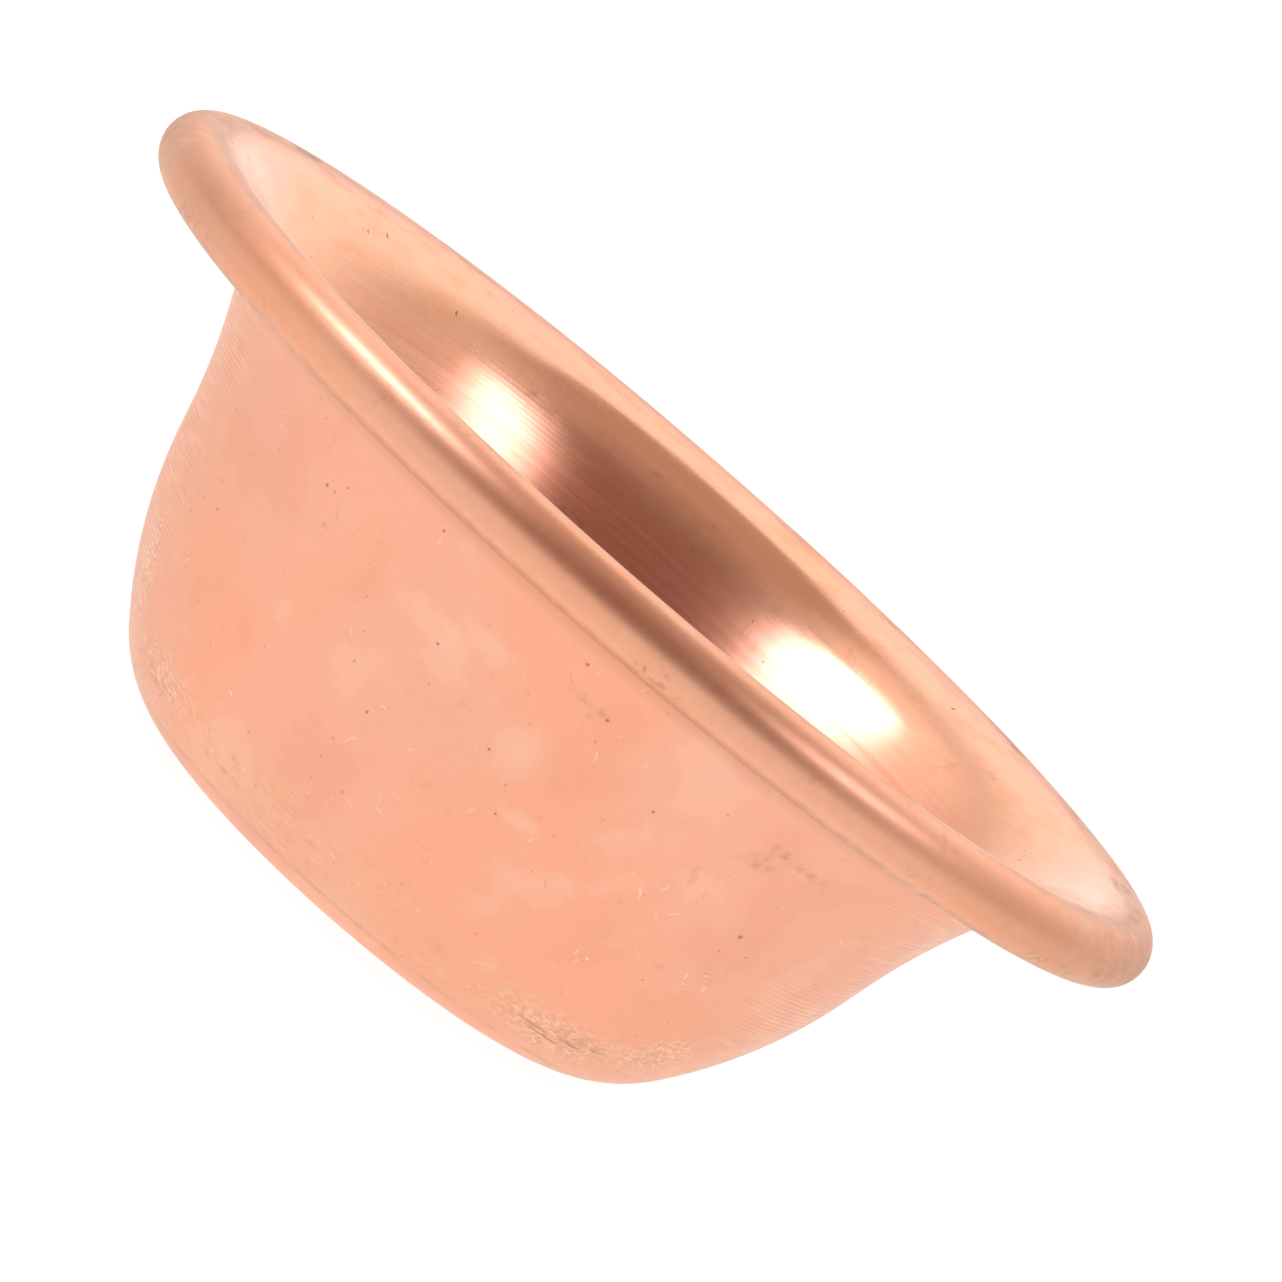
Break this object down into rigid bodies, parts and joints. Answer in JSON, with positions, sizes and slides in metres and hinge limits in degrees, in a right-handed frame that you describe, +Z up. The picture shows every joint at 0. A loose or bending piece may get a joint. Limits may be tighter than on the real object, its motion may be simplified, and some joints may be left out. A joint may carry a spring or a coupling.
{
  "type": "spun copper bowl",
  "caption": "Small round copper bowl on a flat base, with a flaring wall and a rolled rim over a wire hoop, for water, grain or small offerings.",
  "frame": {"origin": "centre of the base's underside, on the surface the bowl stands on", "axes": "+Z up along the bowl's axis of revolution, out of its mouth; X and Y are free, and +Y points at the rim wire's butt joint"},
  "size_m": [0.08, 0.08, 0.0308],
  "materials": {
    "spun_copper": "bare copper, spun satin with fine lines round the axis and a smoother, brighter bead",
    "steel_wire": "plain drawn wire, hidden inside the rolled rim"
  },
  "bodies": {
    "root": {"bowl_shell": "spun_copper", "rim_wire": "steel_wire"}
  },
  "joints": []
}
